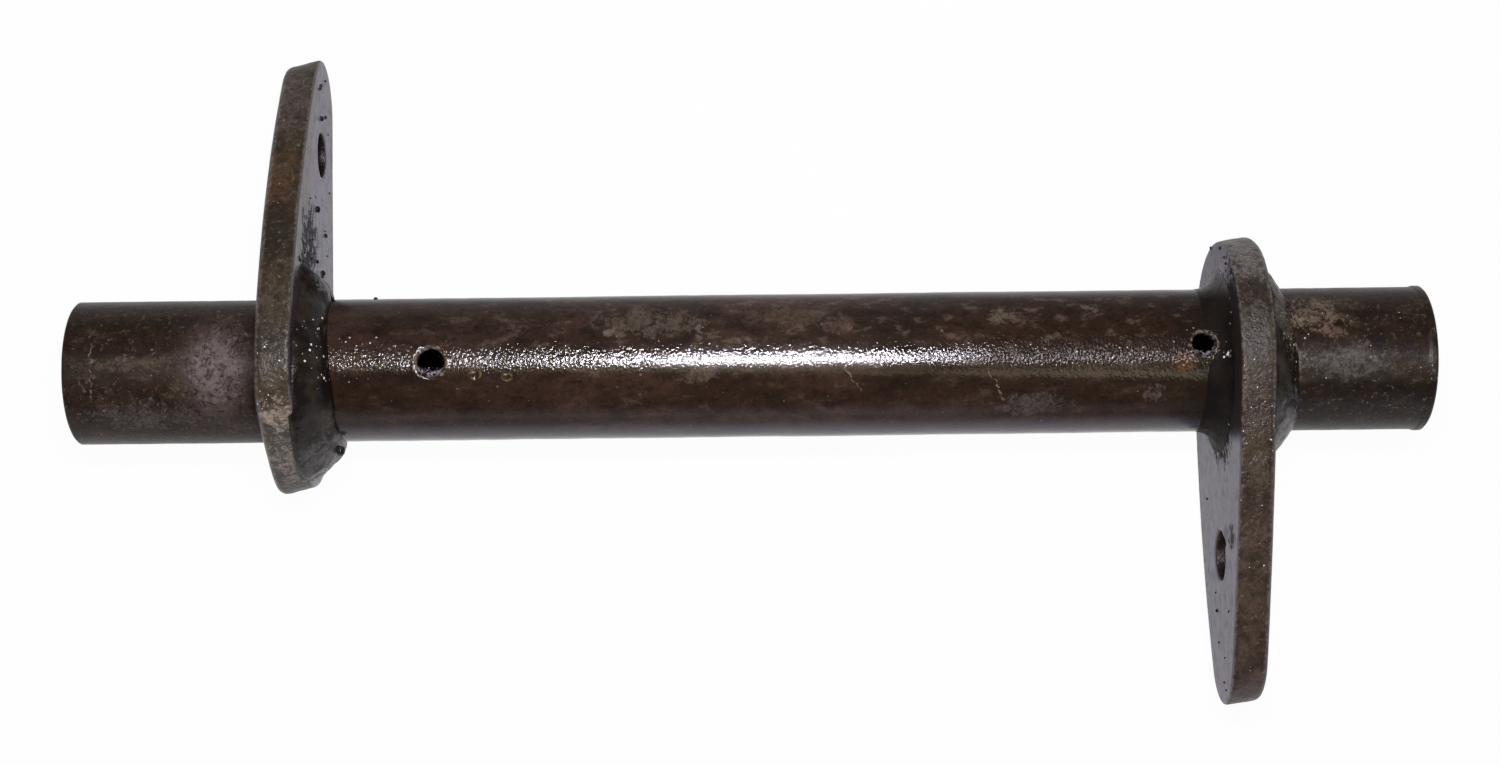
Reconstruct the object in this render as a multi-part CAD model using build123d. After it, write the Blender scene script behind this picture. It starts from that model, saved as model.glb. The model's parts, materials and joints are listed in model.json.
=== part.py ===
from build123d import *
from math import asin, cos, degrees, hypot, radians, sin
import os

os.makedirs("parts", exist_ok=True)

# Clutch bellcrank: a tube with two welded levers. Millimetres. X runs along the tube.
# Z is up. The origin is on the tube's axis at its mid-length. Angles are measured from +Y towards +Z.

# Cross tube
tube_length = 298.4
tube_od = 31.75
tube_wall = 3.18
tube_end_chamfer = 0.4
bore_end_chamfer = 0.6
end_lip_rise = 0.25
end_lip_length = 1.6

# Grease holes, drilled through the upper wall of the tube
left_grease_from_end = 80.0
left_grease_d = 6.2
left_grease_angle = 87.1
left_grease_rim_d = 7.1
right_grease_from_end = 50.7
right_grease_d = 5.3
right_grease_angle = 79.3
right_grease_rim_d = 5.8
grease_rim_height = 3.0

# Levers: teardrop plates, cut a little slantwise, slipped over the tube
lever_thickness = 7.94
boss_r = 27.0
tip_r = 12.2
lever_slip = 0.1
outer_edge_round = 1.8
inner_edge_round = 0.6
rod_hole_chamfer = 0.2

# Left lever. Its lower flank is straight and lies level, so its angle follows from its size.
# Its boss is not round: it is flattened between two angles from its centreline, then swollen.
left_lever_from_end = 43.7
left_reach = 61.0
left_rod_distance = 51.7
left_rod_d = 10.1
left_cut_slant = 2.0
left_upper_flank_r = 150.0
left_boss_flat_start_angle = 104.0
left_boss_flat_end_angle = 199.5
left_boss_flat_r = 23.2
left_boss_swollen_angle = 240.0
left_boss_swollen_r = 28.2

# Right lever
right_lever_from_end = 37.06
right_reach = 63.9
right_angle = 180.6
right_rod_distance = 43.5
right_rod_d = 11.1
right_cut_slant = 1.25
right_upper_flank_r = 400.0
right_lower_flank_r = 170.0

# Weld beads: leg along the tube, leg up the plate, bulge of the surface, tilt of the bead
left_bead_tube_leg = 5.8
left_bead_plate_leg = 7.2
left_bead_bulge = 1.2
left_bead_forward_tilt_angle = 2.0
right_inner_bead_tube_leg = 5.2
right_inner_bead_plate_leg = 4.8
right_inner_bead_bulge = -1.3
right_outer_bead_tube_leg = 6.8
right_outer_bead_plate_leg = 7.8
right_outer_bead_bulge = 0.3
bead_tilt_angle = 4.0
stop_lump_r = 4.1
stop_lump_from_face = 2.5
stop_lump_radius_out = 16.6
stop_lump_angle = 185.0

# Sizes that follow from the ones above
half = tube_length / 2
tube_r = tube_od / 2
bore_r = tube_r - tube_wall
left_grease_x = left_grease_from_end - half
right_grease_x = half - right_grease_from_end
left_outer_x = left_lever_from_end - half
left_inner_x = left_outer_x + lever_thickness
right_outer_x = half - right_lever_from_end
right_inner_x = right_outer_x - lever_thickness
left_angle = -degrees(asin((boss_r - tip_r) / left_reach))


def polar(radius, angle):
    return radius * cos(radians(angle)), radius * sin(radians(angle))


def along_x(radius, x_start, x_end, y=0.0, z=0.0):
    """A cylinder along X between two stations."""
    plane = Plane(origin=(x_start, y, z), x_dir=(0, 1, 0), z_dir=(1, 0, 0))
    return extrude(plane * Circle(radius), x_end - x_start)


def flank(reach, radius, side):
    """One side of the teardrop, boss to tip: straight if radius is None, else tangent arc."""
    if radius is None:
        lean = asin((boss_r - tip_r) / reach)
        normal = Vector(sin(lean), side * cos(lean))
        start = normal * boss_r
        end = Vector(reach, 0) + normal * tip_r
        return start, end, Line(start, end)
    tip = Vector(reach, 0)
    to_boss = radius - boss_r
    to_tip = radius - tip_r
    across = (to_boss**2 - to_tip**2 + reach**2) / (2 * reach)
    centre = Vector(across, -side * (to_boss**2 - across**2) ** 0.5)
    start = centre * (-boss_r / to_boss)
    end = tip + (tip - centre) * (tip_r / to_tip)
    middle = centre + ((start + end) * 0.5 - centre).normalized() * radius
    return start, end, ThreePointArc(start, middle, end)


def teardrop(reach, flank_a_r, flank_b_r, uneven_boss=None):
    """The outline of a lever: boss at the origin, tip along X, flank a on the +Y side.

    uneven_boss gives three angles and two radii: the boss is flattened between the first two
    angles, down to the first radius, and swollen at the third angle, out to the second.
    """
    a_start, a_end, a_line = flank(reach, flank_a_r, 1)
    b_start, b_end, b_line = flank(reach, flank_b_r, -1)
    tip = ThreePointArc(b_end, (reach + tip_r, 0), a_end)
    if uneven_boss is None:
        return make_face(Curve() + [a_line, ThreePointArc(a_start, (-boss_r, 0), b_start), b_line, tip])
    flat_start, flat_end, swollen, flat_r, swollen_r = uneven_boss
    start = Vector(*polar(boss_r, flat_start))
    end = Vector(*polar(boss_r, flat_end))
    tangents = [start.rotate(Axis.Z, 90), end.rotate(Axis.Z, 90)]
    boss = [
        ThreePointArc(a_start, (a_start + start).normalized() * boss_r, start),
        Spline(start, polar(flat_r, (flat_start + flat_end) / 2), end, tangents=tangents),
        ThreePointArc(end, polar(swollen_r, swollen), b_start),
    ]
    return make_face(Curve() + [a_line, *boss, b_line, tip])


def lever(outline, x_face, angle, cut_slant, rod_distance, rod_d, outer_x):
    """A plate between x_face and x_face + thickness, bored for the tube and the rod."""
    plane = Plane(origin=(x_face, -cut_slant / 2, 0), x_dir=(0, 1, 0), z_dir=(1, 0, 0))
    blank = plane * Rot(0, 0, angle) * outline
    length = hypot(lever_thickness, cut_slant)
    plate = extrude(blank, length, dir=(lever_thickness, cut_slant, 0))
    low, high = plate.edges().group_by(Axis.X)[0], plate.edges().group_by(Axis.X)[-1]
    outer, inner = (low, high) if outer_x == x_face else (high, low)
    plate = fillet(outer, outer_edge_round)
    inner_x = x_face if outer_x != x_face else x_face + lever_thickness
    inner = plate.edges().filter_by_position(Axis.X, inner_x - 0.01, inner_x + 0.01)
    plate = fillet(inner, inner_edge_round)
    plate -= along_x(tube_r + lever_slip, x_face, x_face + lever_thickness)
    rod_y, rod_z = polar(rod_distance, angle)
    plate -= along_x(rod_d / 2, x_face, x_face + lever_thickness, rod_y, rod_z)
    rims = plate.edges().filter_by(GeomType.CIRCLE).filter_by(lambda e: abs(e.radius - rod_d / 2) < 0.01)
    return chamfer(rims, rod_hole_chamfer)


def bead(face_x, side, tube_leg, plate_leg, bulge, tilt=(0, 0), lump=None):
    """A fillet bead between the tube and a lever face, on the side of growing X if side is 1."""
    buried = tube_wall
    toe = Vector(face_x + side * tube_leg, tube_r)
    top = Vector(face_x, tube_r + plate_leg)
    chord = top - toe
    outward = Vector(side * abs(chord.Y), abs(chord.X)).normalized()
    crown = (toe + top) * 0.5 + outward * bulge
    back = face_x - side * buried
    profile = make_face(
        Curve()
        + [
            ThreePointArc(toe, crown, top),
            Polyline(top, (back, top.Y), (back, tube_r - buried), (toe.X, tube_r - buried), toe),
        ]
    )
    ring = revolve(profile, Axis.X)
    ring = Pos(face_x, 0, 0) * Rot(0, *tilt) * Pos(-face_x, 0, 0) * ring
    if lump:
        ring += lump
    reach_out = 2 * (tube_leg + plate_leg)
    ring -= along_x(tube_r, face_x - reach_out, face_x + reach_out)
    behind = along_x(tube_r + reach_out, *sorted((face_x, face_x - side * reach_out)))
    return ring - behind


def radial_drill(x, angle, d, rim_d):
    """A drill for a hole through the tube's wall, with its rim opened out."""
    y, z = polar(1, angle)
    hole_axis = Plane(origin=(x, 0, 0), x_dir=(1, 0, 0), z_dir=(0, y, z))
    rim_depth = (rim_d - d) / 2
    rim_start = tube_r - rim_depth
    drill = extrude(hole_axis * Circle(d / 2), tube_r + rim_d)
    opening = hole_axis * Pos(0, 0, rim_start) * Cone(
        d / 2, rim_d / 2 + grease_rim_height, rim_depth + grease_rim_height,
        align=(Align.CENTER, Align.CENTER, Align.MIN),
    )
    return drill + opening


left_drill = radial_drill(left_grease_x, left_grease_angle, left_grease_d, left_grease_rim_d)
right_drill = radial_drill(right_grease_x, right_grease_angle, right_grease_d, right_grease_rim_d)

# Cross tube, with the small raised lip on its right end
tube = along_x(tube_r, -half, half)
tube += along_x(tube_r + end_lip_rise, half - end_lip_length, half)
ends = tube.edges().filter_by(GeomType.CIRCLE)
tube = chamfer(ends.group_by(Axis.X)[0] + ends.group_by(Axis.X)[-1], tube_end_chamfer)
tube -= along_x(bore_r, -half, half)
mouths = tube.edges().filter_by(GeomType.CIRCLE).filter_by(lambda e: abs(e.radius - bore_r) < 0.01)
tube = chamfer(mouths, bore_end_chamfer)
tube -= left_drill
tube -= right_drill

left_boss = (
    left_boss_flat_start_angle, left_boss_flat_end_angle, left_boss_swollen_angle,
    left_boss_flat_r, left_boss_swollen_r,
)
left_lever = lever(
    teardrop(left_reach, left_upper_flank_r, None, left_boss),
    left_outer_x, left_angle, left_cut_slant, left_rod_distance, left_rod_d, left_outer_x,
)
right_lever = lever(
    teardrop(right_reach, right_lower_flank_r, right_upper_flank_r),
    right_inner_x, right_angle, right_cut_slant, right_rod_distance, right_rod_d, right_outer_x,
)

lump_y, lump_z = polar(stop_lump_radius_out, stop_lump_angle)
stop_lump = Pos(left_inner_x + stop_lump_from_face, lump_y, lump_z) * Sphere(stop_lump_r)
left_inner_weld = bead(
    left_inner_x, 1, left_bead_tube_leg, left_bead_plate_leg, left_bead_bulge,
    (left_bead_forward_tilt_angle, bead_tilt_angle), stop_lump,
)
right_inner_weld = bead(
    right_inner_x, -1, right_inner_bead_tube_leg, right_inner_bead_plate_leg, right_inner_bead_bulge
) - right_drill
right_outer_weld = bead(
    right_outer_x, 1, right_outer_bead_tube_leg, right_outer_bead_plate_leg,
    right_outer_bead_bulge, (0, bead_tilt_angle),
)

nodes = {
    "cross_tube": tube,
    "left_lever": left_lever,
    "right_lever": right_lever,
    "left_inner_weld": left_inner_weld,
    "right_inner_weld": right_inner_weld,
    "right_outer_weld": right_outer_weld,
}
for name, shape in nodes.items():
    box = shape.bounding_box()
    print(name, len(shape.solids()), round(shape.volume), box.min, box.max, shape.is_valid)
    export_step(shape, f"parts/{name}.step")
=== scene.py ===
import itertools
import json
from math import asin, atan2, ceil, cos, degrees, floor, pi, radians, sin

import bmesh
import bpy
import numpy as np
from mathutils import Matrix, Vector


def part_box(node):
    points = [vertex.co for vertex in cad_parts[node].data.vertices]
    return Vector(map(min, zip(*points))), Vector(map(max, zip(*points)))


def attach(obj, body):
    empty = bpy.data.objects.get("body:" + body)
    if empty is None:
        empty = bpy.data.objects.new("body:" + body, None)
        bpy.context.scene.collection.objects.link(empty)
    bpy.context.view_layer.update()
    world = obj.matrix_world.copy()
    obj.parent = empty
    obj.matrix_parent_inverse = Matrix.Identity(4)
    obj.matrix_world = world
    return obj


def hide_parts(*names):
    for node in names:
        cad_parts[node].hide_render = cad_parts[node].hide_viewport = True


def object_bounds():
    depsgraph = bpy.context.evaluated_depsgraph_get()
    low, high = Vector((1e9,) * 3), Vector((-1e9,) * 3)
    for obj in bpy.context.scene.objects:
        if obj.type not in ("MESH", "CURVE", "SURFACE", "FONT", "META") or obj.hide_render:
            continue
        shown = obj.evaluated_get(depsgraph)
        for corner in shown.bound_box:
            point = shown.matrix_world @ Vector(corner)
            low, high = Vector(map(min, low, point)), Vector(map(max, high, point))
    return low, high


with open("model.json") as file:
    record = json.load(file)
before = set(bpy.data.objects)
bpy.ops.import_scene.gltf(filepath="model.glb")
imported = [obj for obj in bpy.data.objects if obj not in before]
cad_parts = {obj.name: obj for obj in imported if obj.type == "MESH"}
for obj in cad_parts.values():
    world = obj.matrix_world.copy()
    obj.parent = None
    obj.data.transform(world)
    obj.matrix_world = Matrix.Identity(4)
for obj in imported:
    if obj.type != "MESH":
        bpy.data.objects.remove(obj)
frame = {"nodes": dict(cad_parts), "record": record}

cad_low, cad_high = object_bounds()

# Metres, except where a comment says millimetres. X runs along the tube and Z is up, towards the camera.
# The origin is at the middle of the tube's axis, and angles round the tube go from +Y towards +Z.
MM = 0.001
SEED = 20
mounts = {mount["name"]: mount for mount in frame["record"]["mounts"]}

lip_rise = 0.25 * MM
tube_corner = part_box("cross_tube")[1]
half = tube_corner.x
lip_r = tube_corner.z
tube_r = lip_r - lip_rise
bore_r = mounts["pivot_bore"]["dims"]["r_mm"] * MM


def round_point(x, angle, radius):
    return (x, radius * cos(angle), radius * sin(angle))


def on_tube(x, angle, radius=tube_r / MM):
    """A place on the tube, in millimetres and degrees."""
    return np.array(round_point(x, radians(angle), radius))


def grease_hole(name, rim_d):
    """Where a grease hole is: station, angle, radius and the radius of its opened rim."""
    mount = mounts[name]
    x = mount["pos_m"][0]
    _, y, z = mount["axis"]
    return x, atan2(z, y), mount["dims"]["r_mm"] * MM, rim_d / 2 * MM


# Places that both the shapes and the finishes use. The grease holes are in metres and radians. The rest is
# in millimetres and degrees, and a crater is a station, an angle and a width.

grease_holes = [grease_hole("left_grease_hole", 7.1), grease_hole("right_grease_hole", 5.8)]
rod_holes = [tuple(np.array(mounts[name]["pos_m"]) / MM) for name in ("left_rod_hole", "right_rod_hole")]
craters = [(-59.5, 97.5, 1.5), (-52.6, 99.3, 1.3)]
left_outer_face, left_inner_face = (corner.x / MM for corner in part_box("left_lever"))
right_inner_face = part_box("right_lever")[0].x / MM


# Shader nodes as Python values

class Value:
    """One output socket of a node tree. Arithmetic on values adds the Math nodes that work it out."""

    def __init__(self, tree, socket):
        self.tree = tree
        self.socket = socket

    def __add__(self, other):
        return self.tree.maths("ADD", self, other)

    def __radd__(self, other):
        return self.tree.maths("ADD", other, self)

    def __sub__(self, other):
        return self.tree.maths("SUBTRACT", self, other)

    def __rsub__(self, other):
        return self.tree.maths("SUBTRACT", other, self)

    def __mul__(self, other):
        return self.tree.maths("MULTIPLY", self, other)

    def __rmul__(self, other):
        return self.tree.maths("MULTIPLY", other, self)

    def __pow__(self, other):
        return self.tree.maths("POWER", self, other)

    def larger(self, other):
        return self.tree.maths("MAXIMUM", self, other)


class Nodes:
    """A node tree under construction: it makes nodes and masks."""

    def __init__(self, tree):
        self.nodes = tree.nodes
        self.links = tree.links
        self.nodes.clear()

    def raw(self, kind, settings, sockets):
        """Any node: its settings are set first, then the values or links of its sockets."""
        node = self.nodes.new(kind)
        for key, value in settings.items():
            setattr(node, key, value)
        for key, value in sockets.items():
            if isinstance(value, Value):
                self.links.new(value.socket, node.inputs[key])
            else:
                node.inputs[key].default_value = value
        return node

    def node(self, kind, settings, sockets, output=0):
        return Value(self, self.raw(kind, settings, sockets).outputs[output])

    def maths(self, operation, *inputs):
        return self.node("ShaderNodeMath", {"operation": operation}, dict(enumerate(inputs)))

    def vector(self, operation, sockets, output=0):
        return self.node("ShaderNodeVectorMath", {"operation": operation}, sockets, output)

    def step(self, value, start, end, top=1.0):
        """0 at start, top at end, smooth between. Start may be above end."""
        settings = {"interpolation_type": "SMOOTHSTEP", "clamp": True}
        sockets = {"Value": value, "From Min": start, "From Max": end, "To Min": 0.0, "To Max": top}
        return self.node("ShaderNodeMapRange", settings, sockets)

    def between(self, value, low, full_low, full_high, high, top=1.0):
        """top from full_low to full_high, fading to 0 at low and at high."""
        return self.step(value, low, full_low, top) * self.step(value, high, full_high)

    def mix(self, mask, under, over):
        """The colour over laid on the colour under, where the mask is 1."""
        sockets = {0: mask, 6: self.colour(under), 7: self.colour(over)}
        return self.node("ShaderNodeMix", {"data_type": "RGBA"}, sockets, 2)

    def layered(self, colour, *layers):
        """The colour with others laid on it in turn, each given after its mask."""
        for mask, over in layers:
            colour = self.mix(mask, colour, over)
        return colour

    @staticmethod
    def colour(value):
        return value if isinstance(value, Value) else (*value, 1)


class Finish(Nodes):
    """A material under construction. Places and sizes are in millimetres."""

    oil_specular = 0.75
    coat_roughness = 0.27

    def __init__(self, name):
        self.material = bpy.data.materials.new(name)
        self.material.use_nodes = True
        super().__init__(self.material.node_tree)
        metres = self.node("ShaderNodeTexCoord", {}, {}, "Object")
        self.place = self.vector("SCALE", {"Vector": metres, "Scale": 1 / MM})
        axes = self.raw("ShaderNodeSeparateXYZ", {}, {"Vector": self.place})
        self.x, self.y, self.z = (Value(self, axes.outputs[axis]) for axis in "XYZ")

    def stretched(self, along_x, along_y=1.0, along_z=1.0):
        """The place with each axis divided, so that a texture is drawn out along it."""
        return self.vector("MULTIPLY", {0: self.place, 1: (1 / along_x, 1 / along_y, 1 / along_z)})

    def noise(self, size, detail=4.0, roughness=0.55, place=None, distortion=0.0):
        """Noise whose features are about size millimetres across."""
        sockets = {
            "Vector": place or self.place, "Scale": 1 / size, "Detail": detail,
            "Roughness": roughness, "Distortion": distortion,
        }
        return self.node("ShaderNodeTexNoise", {"noise_dimensions": "3D"}, sockets)

    def flecks(self, pitch, radius, share):
        """Small dots of mixed sizes on a scatter of the pitch given, of which a share is kept."""
        cells = self.raw("ShaderNodeTexVoronoi", {}, {"Vector": self.place, "Scale": 1 / pitch})
        chance = self.raw("ShaderNodeSeparateColor", {}, {"Color": Value(self, cells.outputs["Color"])})
        kept = self.maths("LESS_THAN", Value(self, chance.outputs[0]), share)
        size = Value(self, chance.outputs[1]) ** 2 * 0.8 + 0.35
        return kept * self.step(Value(self, cells.outputs["Distance"]) * (pitch / radius), size, size * 0.6)

    def around(self, centre, size):
        """1 in the middle of an oval place, fading to 0 well outside it."""
        offset = self.vector("SUBTRACT", {0: self.place, 1: tuple(centre)})
        away = self.vector("LENGTH", {0: self.vector("DIVIDE", {0: offset, 1: size})}, "Value")
        return self.step(away, 1.5, 0.2)

    def blotch(self, centre, size, noise):
        """A patch about an oval place, broken up by the noise."""
        near = self.around(centre, size)
        return self.step(noise + 0.17 * near, 0.57, 0.66) * self.step(near, 0.05, 0.4)

    def patched(self, colour, patches, noise):
        """The colour with patches laid on it, stains and painted highlights: places, half sizes, colours and
        strengths.
        """
        worn = 0.5 + self.step(self.noise(0.7, 3, 0.7), 0.40, 0.58, 0.5)
        for centre, size, over, strength in patches:
            colour = self.mix(self.blotch(centre, size, noise) * worn * strength, colour, over)
        return colour

    def glints(self, pitch, radius, zones):
        """Painted highlights: bright flecks in oval zones, given as places and half sizes."""
        zone = 0.0
        for centre, size in zones:
            zone = self.around(centre, size).larger(zone)
        return self.flecks(pitch, radius, 0.8) * self.step(zone, 0.15, 0.45)

    def facing_x(self):
        """1 where the surface faces along X, 0 where it faces across it."""
        normal = self.node("ShaderNodeTexCoord", {}, {}, "Normal")
        part = self.raw("ShaderNodeSeparateXYZ", {}, {"Vector": normal})
        return self.maths("ABSOLUTE", Value(self, part.outputs["X"]))

    def finish(self, colour, roughness, bumps, specular, film, coat=0.0):
        """bumps are pairs of a height from 0 to 1 and the millimetres that 1 stands for.

        Where film is 1 the surface is covered by oil, which reflects more than the bare specular level.
        """
        normal = None
        for height, depth in bumps:
            sockets = {"Height": height, "Distance": depth * MM, "Strength": 1.0}
            if normal:
                sockets["Normal"] = normal
            normal = self.node("ShaderNodeBump", {}, sockets)
        sockets = {
            "Base Color": self.colour(colour), "Roughness": roughness, "Specular IOR Level": specular,
            "Normal": normal, "Coat Weight": coat, "Coat Roughness": self.coat_roughness,
        }
        bare = self.node("ShaderNodeBsdfPrincipled", {}, sockets)
        sockets["Specular IOR Level"] = self.oil_specular
        oily = self.node("ShaderNodeBsdfPrincipled", {}, sockets)
        shader = self.node("ShaderNodeMixShader", {}, {0: film, 1: bare, 2: oily})
        self.raw("ShaderNodeOutputMaterial", {}, {"Surface": shader})
        return self.material


# Colours, in linear red, green and blue

soot = (0.009, 0.007, 0.006)
deep_brown = (0.024, 0.0145, 0.0082)
red_brown = (0.058, 0.031, 0.021)
dry_brown = (0.012, 0.0095, 0.0070)
amber_brown = (0.013, 0.0075, 0.0040)
russet_brown = (0.012, 0.0055, 0.0040)
burnt_brown = (0.013, 0.010, 0.007)
dull_tan = (0.105, 0.077, 0.052)
broad_tan = (0.115, 0.092, 0.068)
worn_tan = (0.150, 0.110, 0.085)
end_tan = (0.150, 0.115, 0.082)
pale_tan = (0.22, 0.185, 0.13)
pink_tan = (0.16, 0.095, 0.075)
grey_dirt = (0.110, 0.100, 0.088)
mauve_dirt = (0.185, 0.148, 0.138)
orange_rust = (0.110, 0.050, 0.020)
ochre = (0.190, 0.140, 0.050)
lilac_grit = (0.340, 0.310, 0.390)
# Painted light: a lilac reflection of the floor along the tube's lower side
painted_floor_reflection = (0.100, 0.086, 0.140)
# Painted highlights: the colours of painted sparkles and glints
painted_glint_white = (0.80, 0.78, 0.78)
painted_glint_orange = (0.60, 0.34, 0.10)
painted_glint_gold = (0.42, 0.34, 0.17)

rim_brown = (0.027, 0.0175, 0.0090)
rim_olive = (0.052, 0.038, 0.018)
rim_tan = (0.125, 0.104, 0.085)
rim_crack = (0.022, 0.017, 0.012)
rim_grain = (0.19, 0.15, 0.095)
rim_pit = (0.030, 0.022, 0.016)
rim_edge = (0.20, 0.175, 0.145)
rim_crown = (0.215, 0.200, 0.180)
ruddy_pale = (0.070, 0.034, 0.028)
ruddy_dark = (0.024, 0.012, 0.011)
painted_hole_shade = (0.011, 0.007, 0.006)
rosy_dirt = (0.110, 0.082, 0.072)
dark_oil = (0.020, 0.017, 0.012)
umber_dirt = (0.085, 0.070, 0.055)
bare_tan = (0.32, 0.26, 0.19)
scuffed_tan = (0.220, 0.188, 0.160)
ash = (0.190, 0.170, 0.155)
taupe = (0.100, 0.088, 0.080)
wet_brown = (0.030, 0.018, 0.013)

face_deep = (0.062, 0.050, 0.085)
face_pale = (0.088, 0.076, 0.115)
face_grain = (0.045, 0.040, 0.048)
grey_soot = (0.026, 0.024, 0.026)
brown_soot = (0.030, 0.020, 0.014)
worn_soot = (0.040, 0.028, 0.022)
face_shade = (0.024, 0.016, 0.012)
face_fringe = (0.040, 0.024, 0.024)

weld_black = (0.009, 0.0065, 0.0045)
weld_brown = (0.026, 0.018, 0.012)
weld_tan = (0.10, 0.085, 0.055)
weld_grey = (0.17, 0.16, 0.165)
weld_ash = (0.085, 0.082, 0.085)
weld_olive = (0.120, 0.100, 0.060)
weld_lilac = (0.150, 0.142, 0.158)


# Finish of the tube: brown steel under oil, dry at both ends

tube_stains_and_highlights = [
    (on_tube(-22, 55), (13, 4, 5), broad_tan, 0.8),
    (on_tube(10, 50), (12, 3, 4), dull_tan, 0.6),
    # Painted highlights: the next three pale spots, on small bumps above the streak
    (on_tube(-30.7, 64), (1.3, 1.0, 1.0), pale_tan, 0.5),
    (on_tube(-11, 66), (0.9, 2.2, 2.2), pale_tan, 0.45),
    (on_tube(-1, 72), (1.6, 0.9, 0.9), pale_tan, 0.45),
    (on_tube(-11, 100), (4.5, 2.0, 2.5), dull_tan, 0.8),
    (on_tube(19, 61), (4.0, 2.0, 2.6), pink_tan, 0.5),
    (on_tube(55.5, 53), (4.0, 2.2, 2.6), pale_tan, 0.45),
    (on_tube(74.5, 45), (3.0, 1.4, 1.8), pale_tan, 0.45),
    (on_tube(61, 128), (9.0, 3.5, 3.5), grey_dirt, 0.5),
    (on_tube(63, 152), (6.0, 2.0, 4.0), soot, 0.8),
    (on_tube(88, 119), (2.4, 2.4, 2.4), mauve_dirt, 0.5),
    (on_tube(94, 94), (3.0, 2.4, 2.4), orange_rust, 0.9),
    (on_tube(-116, 90), (6.0, 9.5, 8.0), mauve_dirt, 0.7),
    # A painted highlight: a long thin tan streak along the top of the left end
    (on_tube(-135, 86), (13, 1.8, 3.0), dull_tan, 0.6),
    (on_tube(-132, 128), (12, 4.0, 5.0), grey_dirt, 0.45),
    (on_tube(124, 52), (8.0, 5.0, 5.0), end_tan, 1.0),
    (on_tube(129, 94), (11, 4.5, 5.0), grey_dirt, 0.7),
    (on_tube(127, 69), (3.5, 2.0, 3.0), pink_tan, 0.9),
    (on_tube(119.5, 62), (3.5, 1.4, 2.0), pale_tan, 0.6),
    (on_tube(118, 95), (2.5, 5.0, 3.0), pale_tan, 0.5),
]
# Zones of painted glints on the tube, along the streak and by the welds, and orange ones by the rust
tube_glints = [
    (on_tube(-84, 76), (7, 3, 4)), (on_tube(93, 76), (6, 3, 4)), (on_tube(119, 85), (2.5, 3, 3)),
]
tube_fine_glints = [
    (on_tube(66, 86), (24, 2.5, 2.5)), (on_tube(-62, 88), (14, 2.8, 2.5)),
    (on_tube(-87, 83), (5, 5, 4)), (on_tube(-11, 66), (1.4, 2.2, 2.2)), (on_tube(-1, 72), (1.8, 1.1, 1.1)),
]
rusty_glints = [(on_tube(94.5, 91), (2.6, 1.6, 1.6))]

# Scratches: station, slope, and where they start and end in Y
tube_scratches = [(19.9, -0.61, -0.9, -6.3), (51.0, -0.45, -2.2, -8.7), (-142.8, 0.0, 5.0, -6.0)]


def with_grease_holes(made, colour, dust):
    """Pale burrs round the holes with painted white sparkles on them, and painted shade down inside them with
    gritty dirt on it.
    """
    radius = made.maths("SQRT", made.y * made.y + made.z * made.z)
    for x, angle, _, rim in grease_holes:
        centre = np.array(round_point(x, angle, tube_r)) / MM
        near = made.around(centre, (rim / MM,) * 3)
        burr = made.step(near + (made.noise(0.9, 3) - 0.5) * 0.6, 0.20, 0.32)
        # deep is the inside of a hole: painted shade there, with lilac grit on it in patches
        deep = made.step(radius, 15.5, 14.9) * made.step(near, 0.05, 0.2)
        colour = made.layered(
            colour,
            (burr * made.step(dust, 0.44, 0.56, 0.85), pale_tan),
            # painted white sparkles on the burrs
            (burr * made.flecks(0.8, 0.2, 0.8), painted_glint_white),
            (deep, soot),
            (deep * made.step(dust, 0.46, 0.56), lilac_grit),
        )
    return colour


def with_craters(made, colour, dust):
    """An ochre ring round each crater and a small glint beside its middle."""
    for x, angle, width in craters:
        near = made.around(on_tube(x, angle), (width, width * 0.75, width * 0.75))
        ring = made.between(near, 0.25, 0.45, 0.65, 0.85)
        glint = made.around(on_tube(x - 0.3, angle - 2), (0.5, 0.25, 0.25))
        colour = made.layered(
            colour,
            (ring * made.step(dust, 0.42, 0.56, 0.6), ochre),
            (made.step(glint, 0.3, 0.6), pale_tan),
        )
    return colour


def with_scratches(made, colour, dust):
    """Thin wavering lines on the upper side."""
    waver = (made.noise(2.2, 2) - 0.5) * 3.2
    fade = 0.6
    for x, slope, top, bottom in tube_scratches:
        away = made.maths("ABSOLUTE", made.x - slope * made.y - x + waver)
        length = made.between(made.y, bottom - fade, bottom + fade, top - fade, top + fade)
        line = made.step(away, 0.30, 0.12) * length * made.step(made.z, 0, 1)
        colour = made.mix(line * made.step(dust, 0.42, 0.54, 0.6), colour, pale_tan)
    return colour


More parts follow.
